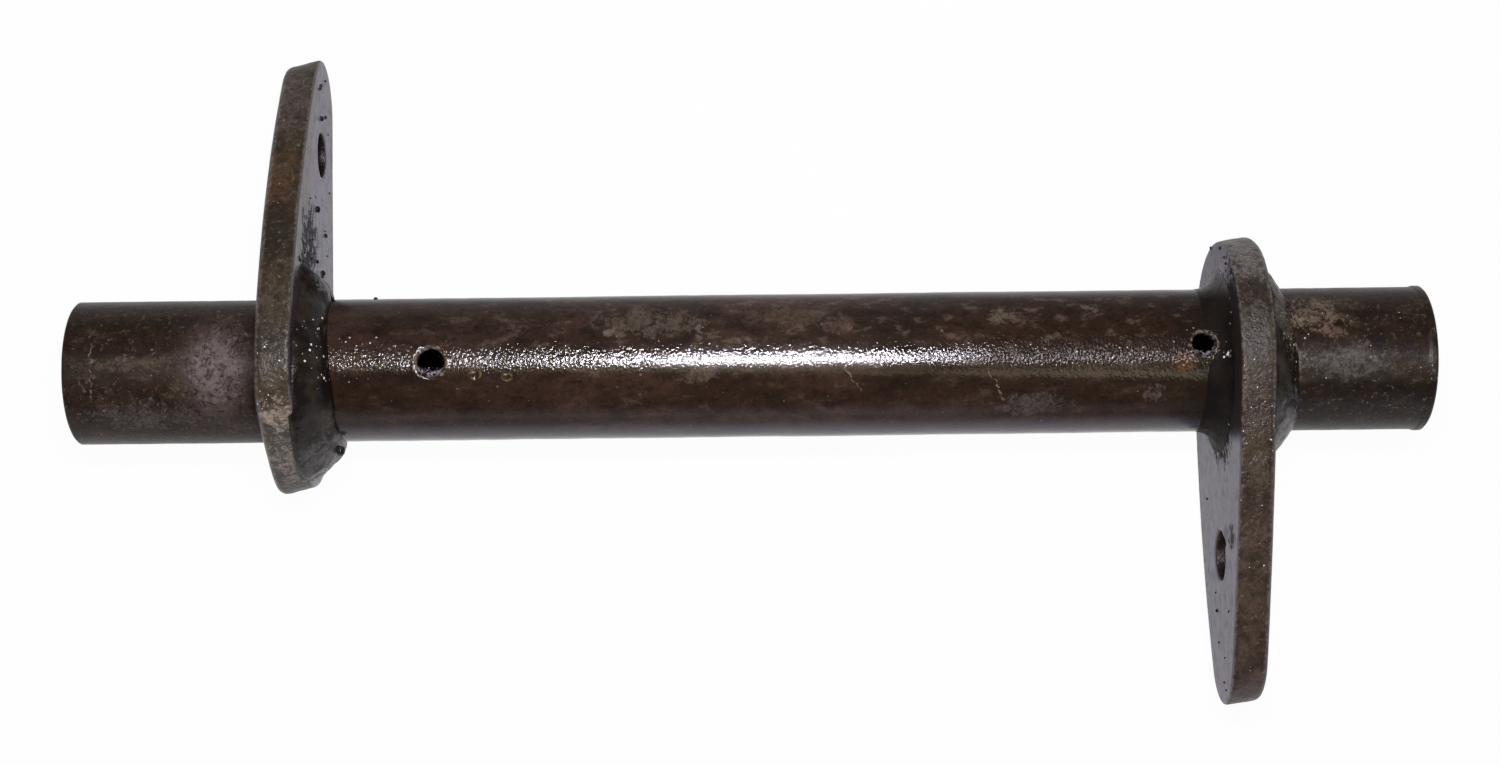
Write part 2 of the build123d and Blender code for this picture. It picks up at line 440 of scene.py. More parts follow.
def oily_tube():
    made = Finish("oily_tube_steel")
    drawn_out = made.stretched(1.7)
    broad = made.noise(14, 3, place=drawn_out)
    mottle = made.noise(3.0, 7, 0.68, drawn_out)
    dust = made.noise(1.0, 5, 0.72)
    behind_lever = left_outer_face + 1.5
    left_end = made.step(made.x, behind_lever, left_outer_face - 1.5)
    right_end = made.step(made.x, 112, 117)
    ends = left_end.larger(right_end)

    # Brown steel, mottled, in zones that differ a little
    redness = made.step(broad, 0.40, 0.62) * made.step(made.x, 95, 20, 0.6) + 0.25
    sides = made.step(made.x, -35, -50).larger(made.step(made.x, 15, 35)) * (1 - ends)
    below = made.step(made.y, 1, -4) * made.step(made.x, 55, 35) * (1 - ends)
    above = made.step(made.y, 2, 6) * made.step(made.x, -80, -45) * (1 - ends)
    colour = made.layered(
        deep_brown,
        (redness * (1 - 0.7 * ends), red_brown),
        (made.step(mottle, 0.52, 0.68, 0.45), dull_tan),
        (made.step(mottle, 0.48, 0.38, 0.55), soot),
        (made.step(dust, 0.58, 0.70, 0.4), dull_tan),
        (ends * 0.15, dry_brown),
        (sides * 0.3, amber_brown),
        (right_end * made.step(made.y, -2, -7, 0.4), soot),
        (below * 0.22, russet_brown),
        (above * made.step(mottle, 0.52, 0.64, 0.4), worn_tan),
        (made.between(made.x, 88, 100, 110, 112, 0.7), burnt_brown),
    )

    # Stains and painted highlights, cracks in the dirt, dust, and a painted reflection of the floor along the
    # lower side
    colour = made.patched(colour, tube_stains_and_highlights, made.noise(2.4, 9, 0.80, distortion=0.5))
    cracks = made.noise(1.7, 6, 0.75, distortion=1.2)
    colour = made.layered(
        colour,
        (made.around(on_tube(-116, 90), (7, 11, 9)) * 0.45, mauve_dirt),
        (made.step(cracks, 0.49, 0.42, 0.45) * (1 + 0.7 * ends), soot),
        # A painted reflection of the floor: a lilac band along the lower side, away from the ends
        (made.step(made.y, -11.5, -15, 0.3) * (1 - ends), painted_floor_reflection),
        (made.step(dust, 0.57, 0.66, 0.30) * ends, pale_tan),
        # Pale tan flecks: partly dust and partly painted sparkles
        (made.flecks(2.2, 0.32, 0.30) * made.step(broad, 0.45, 0.6, 0.6), pale_tan),
    )
    colour = with_grease_holes(made, colour, dust)
    colour = with_craters(made, colour, dust)
    # Painted highlights: white sparkles, more at the right end, white glints in zones, and orange glints by
    # the rust
    colour = made.layered(
        colour,
        (made.flecks(1.2, 0.17, 0.14) * (0.2 + 0.8 * right_end), painted_glint_white),
        (made.glints(1.3, 0.24, tube_glints), painted_glint_white),
        (made.glints(0.8, 0.19, tube_fine_glints), painted_glint_white),
        (made.glints(0.8, 0.24, rusty_glints), painted_glint_orange),
    )
    colour = with_scratches(made, colour, dust)

    # Oil: a gritty streak along the top, solid in its middle, a smooth one below it, and a thin film
    gritty = made.between(made.y, -3, 1, 8.5, 11)
    solid = made.between(made.x, -30, -5, 15, 42) * gritty
    streak = gritty * made.step(made.x, 64, 26) * (1 - made.step(made.x, -30, -55, 0.3))
    smooth = made.between(made.y, -7, -5, -1, 3) * made.step(made.x, 20, 75, 0.4)
    low = made.step(made.y, -11.5, -15, 0.5) * (1 - 0.6 * right_end)
    high = made.step(made.y, 13, 15.5, 0.4)
    thin = 0.14 - made.step(made.x, 40, 62, 0.12) * (1 - right_end)
    oiled = made.step(made.x, behind_lever, behind_lever + 4)
    film = (oiled * streak.larger(smooth).larger(low)).larger(thin).larger(high)
    wet = 1 - 0.55 * ends - 0.2 * made.step(mottle, 0.5, 0.7) * (1 - film)
    dry_mottle = 0.12 * made.step(mottle, 0.5, 0.75) * (1 - film)
    roughness = 0.46 - 0.32 * wet - 0.05 * film + dry_mottle
    coarse = 1.15 + made.step(made.x, -20, -50, 0.35) + made.step(made.x, 42, 66, 1.0)
    grit = made.noise(0.66, 2, 0.5) * (0.2 + 0.8 * gritty) * (1 - ends) * coarse
    bumps = [(made.noise(3.0, 3), 0.025), (grit, 0.12), (dust * ends, 0.10)]
    return made.finish(colour, roughness, bumps, 0.06, film, coat=solid * 0.38)


# Finish of the levers: dirty flame-cut rims, and faces of a lilac sheen

rim_stains = [
    ((-103.7, 60, 0), (8, 12, 12), rosy_dirt, 0.8),
    ((-103.7, 42, 12), (6, 10, 9), orange_rust, 0.75),
    ((-103.2, 29, 18), (6, 6, 5), dark_oil, 0.8),
    ((-103.0, 10, 26), (6, 9, 5), umber_dirt, 0.5),
    ((-100.5, -11.5, 23), (6, 6, 5), bare_tan, 1.0),
    ((-99.5, -21, 14), (6, 9, 13), scuffed_tan, 1.0),
    ((108, 22, 18), (5, 9, 11), ash, 0.9),
    ((107, 5, 27), (5, 9, 6), taupe, 0.5),
    ((108, -72, 6), (6, 7, 7), wet_brown, 0.8),
]
face_stains = [
    ((-97.5, 28, 3), (4, 9, 10), grey_soot, 0.9),
    ((-97.5, 24, 8), (4, 5, 7), soot, 0.8),
    ((104.2, -17, 3), (4, 7, 12), soot, 0.9),
    ((104.2, 12, 24), (4, 15, 14), soot, 0.95),
    ((104.2, -4, 26), (4, 13, 14), brown_soot, 0.95),
    ((104.2, -39, 12), (4, 3, 4), worn_soot, 0.8),
]
# Zones of painted glints on the rims
rim_glints = [((-103.5, -3, 27), (6, 9, 4)), ((109, -14, 25), (5, 8, 6))]
crown_place = (106, 26, 6), (7, 5, 11)


def lever_face(made, broad, dust, grain, on_right):
    """The colour of the flat faces, and a mask of where soot and painted shade keep them from shining."""
    dashes = made.noise(1.1, 2, 0.5, made.stretched(1, 4, 0.7))
    # The faces' lilac is partly their own colour and partly a painted reflection of the pale floor
    colour = made.layered(
        face_deep,
        (made.step(broad, 0.35, 0.65), face_pale),
        (made.step(grain, 0.50, 0.70, 0.45), face_grain),
        (made.step(dashes, 0.66, 0.72, 0.8), soot),
    )
    patchy = made.noise(2.0, 8, 0.75)
    matt = 0
    for centre, size, over, strength in face_stains:
        patch = made.blotch(centre, size, patchy) * strength
        colour = made.mix(patch, colour, over)
        matt = patch.larger(matt)
    shaded = made.between(made.y, -19, -15, 13, 19) * made.step(made.z, 6, 14) * on_right
    fringe = made.step(30 - 0.46 * made.y - made.z, 10, 5) * (1 - on_right)
    colour = made.layered(
        colour, (shaded * 0.9, face_shade), (fringe * made.step(dust, 0.3, 0.5), face_fringe)
    )
    return colour, shaded.larger(matt)


def oily_plate():
    made = Finish("oily_plate_steel")
    facing = made.facing_x()
    rim = made.step(facing, 0.9, 0.6)
    face = 1 - rim
    on_right = made.step(made.x, -1, 1)
    broad = made.noise(9, 4)
    mottle = made.noise(2.6, 7, 0.70)
    dust = made.noise(1.0, 4, 0.7)
    grain = made.noise(0.9, 3, 0.6, made.stretched(1, 16, 0.8))

    # Rims, mottled and stained
    colour = made.layered(
        rim_brown,
        (made.step(broad, 0.38, 0.62), rim_olive),
        (made.step(mottle, 0.52, 0.70, 0.5), rim_tan),
        (made.step(mottle, 0.46, 0.36, 0.6), soot),
    )
    colour = made.patched(colour, rim_stains, made.noise(2.4, 9, 0.80, distortion=0.5))
    cracks = made.noise(1.7, 6, 0.75, distortion=1.2)
    colour = made.layered(
        colour,
        (made.step(cracks, 0.48, 0.42, 0.7), rim_crack),
        (rim * made.step(dust, 0.58, 0.70, 0.55), rim_grain),
        (rim * made.step(dust, 0.48, 0.36, 0.5), rim_pit),
    )

    # Faces, the edges between them and the rims, and painted shade on the walls of the rod holes
    pale, matt = lever_face(made, broad, dust, grain, on_right)
    edge = made.between(facing, 0.2, 0.45, 0.85, 0.98)
    colour = made.layered(
        colour, (face, pale), (edge * made.step(dust, 0.40, 0.62, 0.55), rim_edge)
    )
    # Painted shade darkens the walls of the rod holes
    for place in rod_holes:
        hole_shade = made.around(place, (20, 6.5, 6.5)) * rim
        colour = made.mix(made.step(hole_shade, 0.30, 0.45), colour, painted_hole_shade)

    # The right rim is redder further down, and paler on its crown
    ruddy = rim * on_right * made.step(made.y, 12, -40, 0.6)
    crown = made.around(*crown_place) * rim
    thick = made.step(made.noise(7, 3), 0.44, 0.56).larger(on_right)
    colour = made.layered(
        colour,
        (ruddy * made.step(mottle, 0.42, 0.62), ruddy_pale),
        (ruddy * made.step(mottle, 0.52, 0.40, 0.7), ruddy_dark),
        (crown * made.step(mottle, 0.40, 0.56, 0.6), rim_crown),
        # Painted highlights: white sparkles on the rims, thicker in patches, and glints in two zones
        (made.flecks(1.1, 0.15, 0.22) * rim * thick, painted_glint_white),
        (rim * made.glints(1.0, 0.23, rim_glints), painted_glint_white),
    )

    face_roughness = 0.4 * matt - 0.13 + 0.13 * on_right
    roughness = 0.34 + 0.14 * made.step(mottle, 0.45, 0.7) + face * face_roughness
    grit = made.noise(1.0, 3, 0.6)
    bumps = [(made.noise(3.6, 3), 0.10), (grit * rim, 0.26), (grain * face, 0.02), (dust * matt, 0.12)]
    return made.finish(colour, roughness, bumps, 0.05, 0.5 * (1 - face * matt))


# Finish of the weld beads: dark, with grit that glints, painted glints and highlights, and a painted
# reflection

weld_stains_and_painted_light = [
    # A painted highlight: a grey patch on the edge of the left bead's tongue
    ((-94, 19, 8), (3.5, 3.5, 4.5), weld_grey, 0.7),
    ((-94, -19, 8), (5.5, 6.5, 10), weld_ash, 0.85),
    # Painted highlights: a white spot on the toe of the right outer bead and one on the right inner bead
    ((118.4, 2.2, 16.2), (0.9, 1.1, 1.1), painted_glint_white, 1.0),
    ((103.2, 1.3, 18), (0.8, 1.5, 1.5), painted_glint_white, 1.0),
    ((116, 8, 17), (4, 9, 6), weld_olive, 0.8),
    # A painted reflection of the floor: a lilac patch low on the right outer bead
    ((116, -13, 12), (4, 8, 8), weld_lilac, 0.8),
]
# Zones of painted glints on the beads, white, and gold along the toe of the right outer bead
weld_glints = [((-93, 5, 19), (4, 9, 8)), ((102, 3, 17), (3, 5, 5)), ((117, 6, 16), (4, 8, 6))]
toe_glints = [((118.5, 3, 17), (3, 10, 6))]


def weld_metal():
    made = Finish("weld_steel")
    mottle = made.noise(1.8, 6, 0.7)

    # Most of the right inner bead lies in the lever's shade and doesn't shine
    hidden = made.between(made.x, 90, 98, 108, 112) * made.step(made.y, 16, 12.5)
    colour = made.layered(
        weld_black,
        (made.step(made.noise(5, 4), 0.42, 0.65), weld_brown),
        (made.step(mottle, 0.62, 0.74, 0.35), weld_tan),
        (hidden * 0.7, soot),
    )
    colour = made.patched(colour, weld_stains_and_painted_light, made.noise(2.0, 8, 0.78))
    # Painted highlights: white sparkles all over, white glints in zones, and gold glints along the right
    # outer toe
    colour = made.layered(
        colour,
        (made.flecks(1.6, 0.20, 0.2), painted_glint_white),
        (made.glints(1.2, 0.32, weld_glints), painted_glint_white),
        (made.glints(1.0, 0.30, toe_glints), painted_glint_gold),
    )
    roughness = 0.22 + 0.2 * made.step(mottle, 0.45, 0.7) + 0.25 * hidden
    bumps = [(made.noise(2.5, 3), 0.12), (made.noise(0.8, 3, 0.6), 0.12)]
    return made.finish(colour, roughness, bumps, 0.03, 0.24 * (1 - hidden))


finishes = {"oily_tube_steel": oily_tube(), "oily_plate_steel": oily_plate(), "weld_steel": weld_metal()}


# Shape tools

class Unevenness:
    """Smooth noise in space, the same on every run. Its values run from about -1 to 1."""

    side = 48

    def __init__(self, seed):
        self.levels = np.random.default_rng(seed).uniform(-1, 1, (self.side,) * 3)

    def at(self, points, size, octaves=1):
        """Lumps of about size millimetres, with smaller ones of half the size and height laid on them."""
        total = np.zeros(len(points))
        for octave in range(octaves):
            total += self.smooth(points * (2**octave / (size * MM))) / 2**octave
        return total

    def smooth(self, place):
        cell = np.floor(place).astype(int)
        part = place - cell
        part = part * part * (3 - 2 * part)
        total = np.zeros(len(place))
        for corner in itertools.product((0, 1), repeat=3):
            index = tuple((cell[:, axis] + corner[axis]) % self.side for axis in range(3))
            shares = [part[:, axis] if corner[axis] else 1 - part[:, axis] for axis in range(3)]
            total += shares[0] * shares[1] * shares[2] * self.levels[index]
        return total


uneven = Unevenness(SEED)


def sunk(points, dents):
    """Millimetres that each point sinks. A dent is a centre, its half size and its depth.

    A bump has a depth below 0.
    """
    depth = np.zeros(len(points))
    for centre, size, deep in dents:
        away = (((points / MM - centre) / size) ** 2).sum(1)
        depth += deep * np.clip(1 - away, 0, 1) ** 2
    return depth


def ramp(value, start, end):
    """0 at start, 1 at end, smooth between."""
    part = np.clip((value - start) / (end - start), 0, 1)
    return part * part * (3 - 2 * part)


def work_over(mesh, change):
    """Moves each point of a mesh along its normal by the millimetres that change gives."""
    points = np.empty(len(mesh.vertices) * 3, np.float32)
    normals = np.empty(len(mesh.vertices) * 3, np.float32)
    mesh.vertices.foreach_get("co", points)
    mesh.vertex_normals.foreach_get("vector", normals)
    points = points.reshape(-1, 3).astype(float)
    normals = normals.reshape(-1, 3).astype(float)
    moved = points + normals * change(points, normals)[:, None] * MM
    moved = np.clip(moved, cad_low, cad_high)
    mesh.vertices.foreach_set("co", moved.astype(np.float32).ravel())
    mesh.update()


def add_piece(name, mesh, slot, *nodes):
    """Dresses a mesh in the finish of its slot, in place of the CAD nodes given."""
    mesh.materials.clear()
    mesh.materials.append(finishes[slot])
    mesh.shade_smooth()
    piece = bpy.data.objects.new(name, mesh)
    bpy.context.scene.collection.objects.link(piece)
    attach(piece, "root")
    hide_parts(*nodes)


class Skin:
    """A mesh that grows ring by ring."""

    def __init__(self):
        self.points = []
        self.faces = []

    def ring(self, points):
        start = len(self.points)
        self.points.extend(tuple(point) for point in points)
        return list(range(start, len(self.points)))

    def join(self, one, other):
        """Faces between two closed rings. The first has as many points as the other, or twice as many."""
        step = len(one) // len(other)
        for k in range(len(other)):
            a, b = other[k], other[(k + 1) % len(other)]
            if step == 1:
                self.faces.append((one[k], one[(k + 1) % len(one)], b, a))
            else:
                first, middle, last = one[2 * k], one[2 * k + 1], one[(2 * k + 2) % len(one)]
                self.faces += [(first, middle, a), (middle, b, a), (middle, last, b)]

    def mesh(self, name):
        made = bpy.data.meshes.new(name)
        made.from_pydata(self.points, [], self.faces)
        work = bmesh.new()
        work.from_mesh(made)
        bmesh.ops.recalc_face_normals(work, faces=work.faces)
        work.to_mesh(made)
        work.free()
        return made


# Tube: an outer skin and a bore, joined at the ends and down the walls of the grease holes

turns = 144
station_pitch = 0.85 * MM
plain_from_left = 1.2 * MM
plain_from_right = 2.4 * MM
end_chamfer = 0.4 * MM
bore_chamfer = 0.6 * MM

# The finer stretch at the craters, in millimetres, and the one at the lip, from the tube's right end
crater_span = (-64, -48)
crater_pitch = 0.4
lip_zone = (2.2 * MM, 0.7 * MM)
lip_pitch = 0.2 * MM
lip_foot = 1.9 * MM
lip_shoulder = 1.5 * MM

# The skin round a hole: how far it reaches, and its rings. Dirt narrows the hole by a share at each depth.
patch_reach = 5.4 * MM
patch_rings = 6
circle_start = radians(-135)
grime_shares = (0.0, 0.10, 0.30, 0.46, 0.55, 0.50, 0.30)


def tube_stations():
    """Stations along the tube, closer together at the craters and the lip. Their number is odd."""
    plain = np.arange(-half + plain_from_left, half - plain_from_right, station_pitch)
    fine = np.arange(*crater_span, crater_pitch) * MM
    clear = crater_pitch / 2 * MM
    plain = plain[(plain < fine[0] - clear) | (plain > fine[-1] + clear)]
    lip = np.arange(half - lip_zone[0], half - lip_zone[1], lip_pitch)
    ends = [-half, -half + end_chamfer, -half + bore_chamfer, half - bore_chamfer, half - end_chamfer, half]
    stations = sorted([*ends, *plain, *fine, *lip])
    if len(stations) % 2 == 0:
        stations.insert(4, (stations[3] + stations[4]) / 2)
    return stations


def outer_radius(x):
    at_end = min(x + half, half - x) < end_chamfer / 2
    lip = (lip_r - tube_r) * ramp(x, half - lip_foot, half - lip_shoulder)
    return tube_r + lip - (end_chamfer if at_end else 0)


def inner_radius(x):
    at_end = min(x + half, half - x) < bore_chamfer / 2
    return bore_r + (bore_chamfer if at_end else 0)


def hole_circle(hole, count, radius, wall_r, grime=0.0):
    """Stations and angles round a drilled hole, where it meets a round wall, from its lower left.

    grime is the share of the radius that dirt fills on one side of the hole.
    """
    x, angle, _, _ = hole
    for k in range(count):
        phi = circle_start + 2 * pi * k / count
        lumps = 1 + 0.16 * sin(3 * phi + 1) + 0.10 * sin(8 * phi)
        open_r = radius * (1 - grime * max(0, sin(phi)) * lumps)
        yield x + open_r * cos(phi), angle + asin(open_r * sin(phi) / wall_r)


def wall(skin, stations, count, radius_at, mouths):
    """A round wall. mouths are pairs of a hole's block of cells and the circle that opens in it."""
    rings = []
    for x in stations:
        radius = radius_at(x)
        rings.append(skin.ring(round_point(x, 2 * pi * k / count, radius) for k in range(count)))
    cut = set()
    rims = []
    for (first, last, low, high), circle in mouths:
        cut |= {(i, j % count) for i in range(first, last) for j in range(low, high)}
        edge = [(i, low) for i in range(first, last)] + [(last, j) for j in range(low, high)]
        edge += [(i, high) for i in range(last, first, -1)] + [(first, j) for j in range(high, low, -1)]
        inner = rings_towards(skin, stations, count, radius_at, edge, circle(len(edge)))
        previous = [rings[i][j % count] for i, j in edge]
        for ring in inner:
            skin.join(previous, ring)
            previous = ring
        rims.append(previous)
    for i in range(len(stations) - 1):
        for j in range(count):
            if (i, j) not in cut:
                k = (j + 1) % count
                skin.faces.append((rings[i][j], rings[i][k], rings[i + 1][k], rings[i + 1][j]))
    return rings[0], rings[-1], rims


def rings_towards(skin, stations, count, radius_at, edge, circle):
    """Rings of points on the wall that lead from a block's square edge to a hole's circle."""
    pairs = [((stations[i], 2 * pi * j / count), end) for (i, j), end in zip(edge, circle)]
    for k in range(1, patch_rings + 1):
        share = k / patch_rings
        places = [(a * (1 - share) + c * share, b * (1 - share) + d * share) for (a, b), (c, d) in pairs]
        yield skin.ring(round_point(x, angle, radius_at(x)) for x, angle in places)


def hole_block(stations, hole):
    """The even cell numbers of the block of skin that a hole is cut from."""
    x, angle, _, _ = hole
    numbers = range(0, len(stations), 2)
    first = max(i for i in numbers if stations[i] < x - patch_reach)
    last = min(i for i in numbers if stations[i] > x + patch_reach)
    pitch = 4 * pi / turns
    low = 2 * floor((angle - patch_reach / tube_r) / pitch)
    high = 2 * ceil((angle + patch_reach / tube_r) / pitch)
    return first, last, low, high


def hole_walls(skin, hole, rim, bore_rim):
    """The countersink and the drilled wall, from the rim on the outside down to the bore."""
    _, _, radius, rim_radius = hole
    previous = rim
    depths = np.linspace(tube_r - (rim_radius - radius), bore_r, len(grime_shares) + 1)
    for wall_r, grime in zip(depths, grime_shares):
        circle = hole_circle(hole, len(rim), radius, wall_r, grime)
        ring = skin.ring(round_point(x, angle, wall_r) for x, angle in circle)
        skin.join(previous, ring)
        previous = ring
    skin.join(previous, bore_rim)


def tube_shape():
    stations = tube_stations()
    blocks = [hole_block(stations, hole) for hole in grease_holes]
    skin = Skin()

    def circles(radius_of, wall_r):
        return [lambda n, hole=hole: hole_circle(hole, n, radius_of(hole), wall_r) for hole in grease_holes]

    outside = list(zip(blocks, circles(lambda hole: hole[3], tube_r)))
    half_blocks = [tuple(number // 2 for number in block) for block in blocks]
    inside = list(zip(half_blocks, circles(lambda hole: hole[2], bore_r)))
    left, right, rims = wall(skin, stations, turns, outer_radius, outside)
    bore_left, bore_right, bore_rims = wall(skin, stations[::2], turns // 2, inner_radius, inside)
    skin.join(left, bore_left)
    skin.join(right, bore_right)
    for hole, rim, bore_rim in zip(grease_holes, rims, bore_rims):
        hole_walls(skin, hole, rim, bore_rim)
    return skin.mesh("tube")


def crater(x, angle, width):
    """A small crater with a raised rim, as two dents."""
    centre = on_tube(x, angle)
    return [(centre, width, -0.30), (centre, width * 0.62, 0.85)]


def tube_surface(points, normals):
    """A faint waviness, small dents and lumps, the craters, and a burr round each grease hole."""
    radius = np.hypot(points[:, 1], points[:, 2])
    outside = ramp(radius, bore_r + 0.5 * MM, tube_r - 1.2 * MM)
    change = 0.05 * uneven.at(points, 22) + 0.03 * uneven.at(points, 4, 3)
    scatter = np.random.default_rng(SEED + 1)
    dents = [dent for place in craters for dent in crater(*place)]
    for _ in range(90):
        place = on_tube(scatter.uniform(-145, 145), scatter.uniform(0, 360))
        dents.append((place, scatter.uniform(0.9, 1.9), scatter.uniform(-0.06, 0.12)))
    change -= sunk(points, dents)
    burr_width = 0.45 * MM
    for x, angle, _, rim in grease_holes:
        centre = np.array(round_point(x, angle, tube_r))
        away = np.sqrt(((points - centre) ** 2).sum(1))
        burr = np.exp(-(((away - rim) / burr_width) ** 2))
        change += burr * (0.10 + 0.13 * uneven.at(points, 1.1, 2))
    return change * outside


tube_mesh = tube_shape()
work_over(tube_mesh, tube_surface)
add_piece("tube", tube_mesh, "oily_tube_steel", "cross_tube")


# Levers: flame-cut plates, uneven on their rims and nearly flat on their faces

lever_voxel = 0.42 * MM

# Where the rod has worn the right lever: centres, half sizes and depths, in millimetres
worn_by_rod = [
    ((right_inner_face, -38.3, 8.0), (0.9, 2.0, 4.6), 0.55),
    ((right_inner_face, -40.2, 5.2), (0.9, 2.2, 2.6), 0.35),
]


def remade(node, voxel):
    """The shape of a CAD node as an even mesh, ready to be worked over."""
    draft = bpy.data.objects.new("draft", frame["nodes"][node].data.copy())
    bpy.context.scene.collection.objects.link(draft)
    even = draft.modifiers.new("even", "REMESH")
    even.mode = "VOXEL"
    even.voxel_size = voxel
    mesh = bpy.data.meshes.new_from_object(draft.evaluated_get(bpy.context.evaluated_depsgraph_get()))
    bpy.data.objects.remove(draft)
    return mesh


def plate_surface(dents):
    def change(points, normals):
        rim = 1 - normals[:, 0] ** 2
        on_rim = 0.13 * uneven.at(points, 8) + 0.09 * uneven.at(points, 2.6, 2)
        on_face = 0.05 * uneven.at(points, 16) + 0.015 * uneven.at(points, 3, 2)
        return rim * on_rim + (1 - rim) * on_face - sunk(points, dents)

    return change


for side, dents in (("left", []), ("right", worn_by_rod)):
    mesh = remade(f"{side}_lever", lever_voxel)
    work_over(mesh, plate_surface(dents))
    add_piece(f"{side}_plate", mesh, "oily_plate_steel", f"{side}_lever")


# Weld beads: rings of weld metal, laid by hand between the tube and the faces of the levers.
# All sizes are in millimetres. The root and the tuck of the toe are what is buried. The top's wander is read
# from the unevenness some way apart, so that it doesn't follow the toe's.

bead_turns = 300
bead_profile_points = 22
bead_root = 1.2
toe_tuck = 0.3
toe_lump = 7
top_lump = 6
top_apart = 100


def weld_bead(name, node, side, tube_leg, plate_leg, bulge, wander, lumps, tilt=(0, 0), extra=None):
    """A bead on a lever's face. It faces +X where side is 1.

    wander is how far its toe and its top stray, and lumps the height of its lumps. The tilt is about Y
    and about Z, in degrees. extra gives, for an angle round the tube, what to add to the leg on the tube
    and to the one on the plate.
    """
    low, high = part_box(node)
    face = (low.x if side > 0 else high.x) / MM
    skin = Skin()
    rings = []
    radius = tube_r / MM
    angles = np.linspace(0, 2 * pi, bead_turns, endpoint=False)
    shift = radius * (np.sin(angles) * sin(radians(tilt[0])) - np.cos(angles) * sin(radians(tilt[1])))
    foot = np.stack([np.full(bead_turns, face), radius * np.cos(angles), radius * np.sin(angles)], 1) * MM
    toe_wander = wander * uneven.at(foot, toe_lump, 2)
    top_wander = wander * uneven.at(foot + top_apart * MM, top_lump, 2)
    for angle, moved, toe_moved, top_moved in zip(angles, shift, toe_wander, top_wander):
        share = 1 + side * moved / tube_leg
        toe_leg = tube_leg * share + toe_moved
        top_leg = plate_leg * share + top_moved
        if extra:
            toe_leg += extra(angle)[0]
            top_leg += extra(angle)[1]
        t = np.linspace(0, 1, bead_profile_points)
        chord = np.hypot(toe_leg, top_leg)
        swell = 4 * bulge * t * (1 - t)
        along = toe_leg * (1 - t) + swell * top_leg / chord
        up = radius + top_leg * t + swell * toe_leg / chord
        along = np.concatenate([[toe_leg + toe_tuck], along, [-bead_root, -bead_root]])
        up = np.concatenate([[radius - bead_root], up, [radius + top_leg, radius - bead_root]])
        rings.append(skin.ring(round_point((face + side * a) * MM, angle, r * MM) for a, r in zip(along, up)))
    for k in range(bead_turns):
        skin.join(rings[k], rings[(k + 1) % bead_turns])
    mesh = skin.mesh(name)

    def roughen(points, normals):
        away = np.hypot(points[:, 1], points[:, 2]) / MM - radius
        depth = side * (points[:, 0] / MM - face)
        free = ramp(away, 0.0, 1.2) * ramp(depth, 0.0, 1.2)
        return free * lumps * uneven.at(points, 4.5, 3)

    work_over(mesh, roughen)
    add_piece(name, mesh, "weld_steel", node)


def hump(angle, centre, width):
    return np.exp(-(((angle - radians(centre)) / radians(width)) ** 2))


def weld_tongue(angle):
    """The left bead runs further up its lever near the top."""
    return 0, 3.6 * hump(angle, 27, 9)


def room_for_hole(angle):
    """The right inner bead stops short of the grease hole."""
    near = hump(angle, degrees(grease_holes[1][1]), 15)
    return -2.9 * near, -1.2 * near


weld_bead(
    "left_inner_bead", "left_inner_weld", side=1, tube_leg=5.8, plate_leg=7.2, bulge=1.2,
    wander=0.45, lumps=0.40, tilt=(2.0, 4.0), extra=weld_tongue,
)
weld_bead(
    "right_inner_bead", "right_inner_weld", side=-1, tube_leg=5.2, plate_leg=4.8, bulge=-1.3,
    wander=0.2, lumps=0.07, extra=room_for_hole,
)
weld_bead(
    "right_outer_bead", "right_outer_weld", side=1, tube_leg=6.8, plate_leg=7.8, bulge=0.3,
    wander=0.35, lumps=0.25, tilt=(0, 4.0),
)


# Weld spatter: small balls of metal, half sunk in what they lie on. The lists give Y, Z and the width on
# a lever's inner face, the station, the angle and the width on the tube, and the place and the width on
# the left bead, all in millimetres and degrees.

left_spatter = [
    (68, -17, 0.7), (66, -11.5, 0.9), (65, -10, 0.9), (58.5, -12, 1.3), (59.5, -17, 1.0), (56, -20.5, 0.4),
    (42.5, -22, 0.6), (38.5, 2, 0.5), (39.5, -4.5, 0.5), (37, -6.5, 1.5), (32, -16.5, 1.2), (33, -16, 0.5),
    (29.5, -0.5, 0.7), (27.5, -19, 0.5), (23.5, 14.5, 0.8), (23.5, 11, 0.7), (24, 15.5, 0.6), (25, -6, 1.1),
    (23, -13, 1.6), (22, -12, 1.0), (27.5, 8.5, 0.5), (29, 3, 0.5), (26, 5, 0.7), (25, 1, 0.6),
    (26.5, -2, 0.5), (28, 6, 0.4), (24.5, 7.5, 0.5), (27, 1.5, 0.4), (25.5, 9.5, 0.5),
]
right_spatter = [
    (-56, -5, 1.0), (-55.5, 8, 0.6), (-52, -6, 0.5), (-63, -3.5, 0.6), (-66, 2.5, 0.5), (-71.5, 1.5, 0.5),
    (-73, 3.5, 0.6), (-31, -14, 0.6), (25.5, -4, 0.8), (24.5, 6.5, 0.7), (22, 11, 0.9), (20.5, 12.5, 0.8),
]
tube_spatter = [(-83.2, 5, 1.1), (-93.0, 12, 2.2), (115.8, 178, 1.0), (-67.8, 66, 0.5)]
bead_spatter = [((-90.6, -18.0, 4.5), 2.6), ((-92.5, -16.9, 11.9), 0.9), ((-94.0, -20.3, 7.0), 0.6)]
ball_rows = 7
ball_columns = 10


